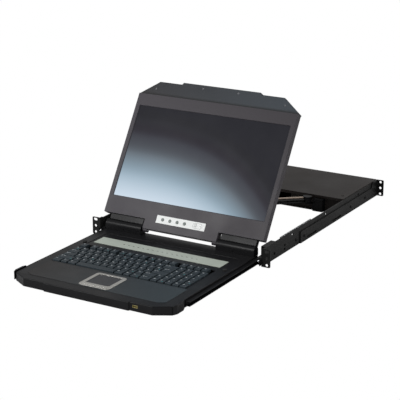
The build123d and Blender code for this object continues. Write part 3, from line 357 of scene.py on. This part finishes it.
# the lid's lighter edge colour is partly wear and partly painted highlight
lid_grey = finish("lid_grey_plastic", (0.06, 0.055, 0.065), 0.42, edge=(0.13, 0.13, 0.15), wear_and_highlight=0.6,
                  radius=1.1, grain=1300, depth=0.2, gloss=0.25)
blend_by(lid_grey, "X", -0.22, 0.22, (0.052, 0.047, 0.056), (0.034, 0.029, 0.035))
lip_grey = finish("lip_blue_grey_plastic", (0.05, 0.055, 0.065), 0.38, wear_and_highlight=0.5, radius=1.2, grain=1300,
                  depth=0.2, gloss=0.25)
blend_by(lip_grey, "X", -0.20, 0.20, (0.022, 0.022, 0.026), (0.035, 0.045, 0.056))
shade_below(lip_grey, "Z", *fold_shade)
black_plastic = finish("black_grained_plastic", (0.006, 0.006, 0.007), 0.36, wear_and_highlight=0.35, radius=0.9,
                       grain=1100, gloss=0.18)
deck_black = finish("deck_black_paint", (0.009, 0.009, 0.010), 0.36, wear_and_highlight=0.3, radius=0.6, grain=1500,
                    gloss=0.2)
palm_grey = finish("palm_rest_grey", (0.03, 0.03, 0.03), 0.4, wear_and_highlight=0.3, radius=0.8, grain=1500,
                   depth=0.2, gloss=0.25)
blend_by(palm_grey, "X", -0.18, 0.18, (0.015, 0.013, 0.013), (0.030, 0.042, 0.049))
# the pale teal key edges are partly wear and partly painted highlight
key_slate = finish("key_slate_plastic", (0.024, 0.034, 0.042), 0.45, edge=(0.14, 0.18, 0.20), wear_and_highlight=0.8,
                   radius=0.7, grain=1500, gloss=0.3)
strip_pale = finish("strip_pale_green", (0.52, 0.57, 0.50), 0.4, wear_and_highlight=0.15, mottle=0.08)
lamp_green = finish("lamp_dark_green", (0.05, 0.07, 0.05), 0.25, wear_and_highlight=0.1, coat=0.6)
plate_white = finish("plate_white", (0.84, 0.86, 0.85), 0.42, wear_and_highlight=0.05, mottle=0.04)
# the pale edge ring of the buttons is partly wear and partly painted highlight
button_green = finish("button_grey_green", (0.10, 0.13, 0.115), 0.38, edge=(0.5, 0.55, 0.52), wear_and_highlight=0.6,
                      radius=0.7)
button_pale = finish("button_pale_grey", (0.66, 0.68, 0.67), 0.4, wear_and_highlight=0.1, radius=0.5)
print_grey = finish("printed_line_grey", (0.30, 0.31, 0.31), 0.6, wear_and_highlight=0.0)
pad_dark = finish("touchpad_film", (0.035, 0.036, 0.04), 0.5, wear_and_highlight=0.1, grain=2400, depth=0.4)
rubber = finish("soft_black_rubber", (0.012, 0.012, 0.012), 0.8, wear_and_highlight=0.15, radius=0.8)
board_green = finish("board_solder_mask", (0.02, 0.11, 0.04), 0.35, wear_and_highlight=0.2, coat=0.4)
pale_cable_from = 13.2 * MM                # the top cable of the upper link is pale, those below are black
cable_black = finish("cable_jacket", (0.02, 0.02, 0.02), 0.5, wear_and_highlight=0.0, grain=700, stretch=(1, 1, 3))
blend_by(cable_black, "Z", pale_cable_from, pale_cable_from + 0.2 * MM,
         (0.02, 0.02, 0.02), (0.62, 0.50, 0.40))
print("plastic finishes made")

# %% [markdown]
# ## The screen
# The screen carries a painted reflection: a plain gradient, pale blue-white in the lower left corner, near
# black in the upper right. It glows by itself, so the room's light hardly changes it.

# %% The screen
screen_left_right = (-0.205, 0.205)
screen_low_high = (0.072, 0.268)
dark_side_weight = 0.60
dark_side_power = 3.0


def make_screen_painted_reflection():
    """The panel's film with a painted reflection, the gradient, as its glow."""
    material = finish("screen_painted_reflection", (0.006, 0.006, 0.008), 0.55, wear_and_highlight=0.0, depth=0.0, mottle=0.0)
    tree = material.node_tree
    across = tree.nodes.new("ShaderNodeMapRange")
    tree.links.new(position(tree, "X"), across.inputs["Value"])
    across.inputs["From Min"].default_value, across.inputs["From Max"].default_value = screen_left_right
    rise = tree.nodes.new("ShaderNodeMapRange")
    tree.links.new(position(tree, "Z"), rise.inputs["Value"])
    rise.inputs["From Min"].default_value, rise.inputs["From Max"].default_value = screen_low_high
    side = tree.nodes.new("ShaderNodeMath")
    side.operation = "POWER"
    side.inputs[1].default_value = dark_side_power
    tree.links.new(across.outputs["Result"], side.inputs[0])
    weigh = tree.nodes.new("ShaderNodeMath")
    weigh.operation = "MULTIPLY_ADD"
    tree.links.new(side.outputs[0], weigh.inputs[0])
    weigh.inputs[1].default_value = dark_side_weight
    tree.links.new(rise.outputs["Result"], weigh.inputs[2])
    ramp = tree.nodes.new("ShaderNodeValToRGB")
    ramp.color_ramp.interpolation = "CARDINAL"
    stops = ramp.color_ramp.elements
    stops[0].position = 0.0
    stops[0].color = (0.60, 0.70, 0.80, 1)
    stops[1].position = 1.0
    stops[1].color = (0.010, 0.010, 0.014, 1)
    for place, color in ((0.25, (0.32, 0.42, 0.50, 1)), (0.48, (0.115, 0.14, 0.165, 1)),
                         (0.68, (0.035, 0.036, 0.046, 1)), (0.85, (0.015, 0.015, 0.019, 1))):
        stops.new(place).color = color
    tree.links.new(weigh.outputs[0], ramp.inputs["Fac"])
    shader = tree.nodes["Principled BSDF"]
    # the gradient glows as a painted reflection on the panel
    tree.links.new(ramp.outputs["Color"], shader.inputs["Emission Color"])
    shader.inputs["Emission Strength"].default_value = 1.0
    shader.inputs["Specular IOR Level"].default_value = 0.12
    return material


screen_painted_reflection = make_screen_painted_reflection()
print("screen made")

# %% [markdown]
# ## Finishes on the CAD nodes
# Each node takes one finish.

# %% Assign the finishes
node_finish = {
    rail_grey: ("side_rails", "outer_brackets", "slide_carriages"),
    black_steel: ("slide_outer", "slide_middle", "slide_inner", "tray_pan", "tray_arm_bracket",
                  "arm_bracket", "arm_link_upper", "arm_link_lower", "rail_screws"),
    chassis_brown: ("chassis_cover", "chassis_pan"),
    port_shell: ("port_connectors",),
    screw_dark: ("lip_screws",),
    zinc: ("vent_strips", "power_supply", "hinge_pins", "lcd_back",
           "release_knob_left", "release_knob_right"),
    port_gold: ("usb_port",),
    silver: ("touchpad_frame", "touchpad_button_left", "touchpad_button_right"),
    lid_grey: ("lid_cover", "lid_bezel"),
    lip_grey: ("lid_lip",),
    black_plastic: ("front_bezel", "hinge_barrels", "lid_hinge_arms", "power_inlet", "rocker_switch",
                    "keyboard_base", "side_catch_left", "side_catch_right"),
    deck_black: ("deck",),
    palm_grey: ("palm_rest",),
    key_slate: ("keys_function_row", "keys_main", "enter_key", "space_bar"),
    strip_pale: ("indicator_strip",),
    lamp_green: ("indicator_lamps", "power_lamp"),
    plate_white: ("osd_plate",),
    button_green: ("osd_button_1", "osd_button_2", "osd_button_3", "osd_button_4"),
    button_pale: ("screen_power_button",),
    pad_dark: ("touchpad",),
    rubber: ("deck_bumpers",),
    board_green: ("switch_board", "osd_board"),
    cable_black: ("harness_upper", "harness_lower"),
    screen_painted_reflection: ("lcd_panel",),
}
for material, names in node_finish.items():
    for name in names:
        for place in nodes[name].material_slots:
            place.link = "OBJECT"
            place.material = material
missing = set(nodes) - {name for names in node_finish.values() for name in names}
print("finished nodes", sum(len(names) for names in node_finish.values()), "missing", missing)

# %% [markdown]
# ## Key legends
# Each cap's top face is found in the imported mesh, and small pale marks are laid in its rear left corner.
# The marks are plain strokes, not letters.  Some caps carry a second mark in teal.  Sizes are in millimetres.

# %% Key legends
legend_lift = 0.06
legend_in = 2.2                # from the cap's left edge
legend_down = 3.4              # from the cap's rear edge to the first stroke
legend_step = 2.3
legend_thick = 1.0
wide_cap = 22.0                # caps wider than this carry a long stroke too
long_stroke = (6.0, 5.5)       # from the left edge, length
teal_in = (6.2, 2.6)           # from the cap's right and front edges
teal_stroke = (4.0, 1.2)


def top_faces(node):
    """Box (lowest x, lowest y, highest x, highest y) and height of each key cap's flat top."""
    mesh = nodes[node].data
    work = bmesh.new()
    work.from_mesh(mesh)
    bmesh.ops.remove_doubles(work, verts=work.verts, dist=1e-6)
    top = max(vertex.co.z for vertex in work.verts)
    flat = [face for face in work.faces
            if face.normal.z > 0.99 and face.calc_center_median().z > top - 1e-5]
    boxes = []
    left_over = set(flat)
    while left_over:
        island = {left_over.pop()}
        queue = list(island)
        while queue:
            face = queue.pop()
            for edge in face.edges:
                for other in edge.link_faces:
                    if other in left_over:
                        left_over.discard(other)
                        island.add(other)
                        queue.append(other)
        xs = [vertex.co.x for face in island for vertex in face.verts]
        ys = [vertex.co.y for face in island for vertex in face.verts]
        boxes.append((min(xs), min(ys), max(xs), max(ys)))
    work.free()
    return sorted(boxes), top


def stroke(work, x, y, z, width, depth):
    """One flat mark, a hair above the cap."""
    corners = [work.verts.new((x + dx, y + dy, z)) for dx, dy in
               ((0, 0), (width, 0), (width, depth), (0, depth))]
    work.faces.new(corners)


legend_pale = finish("legend_pale_ink", (0.72, 0.77, 0.79), 0.6, wear_and_highlight=0.0, depth=0.0, mottle=0.2)
legend_teal = finish("legend_teal_ink", (0.03, 0.32, 0.33), 0.6, wear_and_highlight=0.0, depth=0.0, mottle=0.2)


def make_legends(node, body, teal):
    """Marks on all caps of a node; teal says which caps carry the second mark."""
    boxes, top = top_faces(node)
    pale_mesh = bmesh.new()
    teal_mesh = bmesh.new()
    for index, (x0, y0, x1, y1) in enumerate(boxes):
        height = top + legend_lift * MM
        for line, length in enumerate((2.8, 2.0 + index % 3)):
            stroke(pale_mesh, x0 + legend_in * MM, y1 - (legend_down + legend_step * line) * MM, height,
                   length * MM, legend_thick * MM)
        if x1 - x0 > wide_cap * MM:
            stroke(pale_mesh, x0 + long_stroke[0] * MM, y1 - legend_down * MM, height,
                   long_stroke[1] * MM, legend_thick * MM)
        if teal(index, x0, y0):
            stroke(teal_mesh, x1 - teal_in[0] * MM, y0 + teal_in[1] * MM, height,
                   teal_stroke[0] * MM, teal_stroke[1] * MM)
    made = []
    for suffix, work, ink in (("legend", pale_mesh, legend_pale), ("teal_legend", teal_mesh, legend_teal)):
        if work.faces:
            mesh = bpy.data.meshes.new(f"{node}_{suffix}")
            work.to_mesh(mesh)
            mesh.materials.append(ink)
            piece = bpy.data.objects.new(f"{node}_{suffix}", mesh)
            scene.collection.objects.link(piece)
            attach(piece, body)
            made.append(piece.name)
        work.free()
    return len(boxes), made


print(make_legends("keys_function_row", "drawer", lambda index, x, y: index in (3, 5, 6, 9)))
print(make_legends("keys_main", "drawer",
                   lambda index, x, y: index % 13 == 4 or (y < -0.22 and index % 4 == 1)))
print(make_legends("enter_key", "enter", lambda index, x, y: False))

# %% [markdown]
# ## Printed ring
# A thin oval line on the control plate runs round the power button and its lamp.  Sizes are in millimetres,
# and the tilt and the hinge axis are the lid's own.

# %% Printed ring
lid_tilt = math.radians(32.0)
hinge_y = 7.6
hinge_z = 10.0
ring_middle = (42.5, 30.0)
ring_half_width = 12.2
ring_radius = 5.8
ring_line = 0.6
ring_face = 8.86               # a hair in front of the plate


def lid_point(x, up, out):
    """A point given in the lid's own directions: up the lid from the hinge axis and out of the screen."""
    y = hinge_y + up * math.sin(lid_tilt) - out * math.cos(lid_tilt)
    z = hinge_z + up * math.cos(lid_tilt) + out * math.sin(lid_tilt)
    return Vector((x, y, z)) * MM


def oval(half_width, radius, steps=12):
    """Points of an oval with two straight sides, round the power button."""
    points = []
    for side, start in ((1, -90), (-1, 90)):
        for step in range(steps + 1):
            turn = math.radians(start + 180 * step / steps)
            x = ring_middle[0] + side * (half_width - radius) + radius * math.cos(turn)
            points.append((x, ring_middle[1] + radius * math.sin(turn)))
    return points


ring_mesh = bmesh.new()
inside = [ring_mesh.verts.new(lid_point(x, up, ring_face)) for x, up in oval(ring_half_width, ring_radius)]
outside = [ring_mesh.verts.new(lid_point(x, up, ring_face))
           for x, up in oval(ring_half_width + ring_line, ring_radius + ring_line)]
for index in range(len(inside)):
    after = (index + 1) % len(inside)
    ring_mesh.faces.new((inside[index], outside[index], outside[after], inside[after]))
ring_data = bpy.data.meshes.new("power_ring")
ring_mesh.to_mesh(ring_data)
ring_mesh.free()
ring_data.materials.append(print_grey)
ring = bpy.data.objects.new("power_ring", ring_data)
scene.collection.objects.link(ring)
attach(ring, "lid")
print("ring made", len(ring_data.polygons))
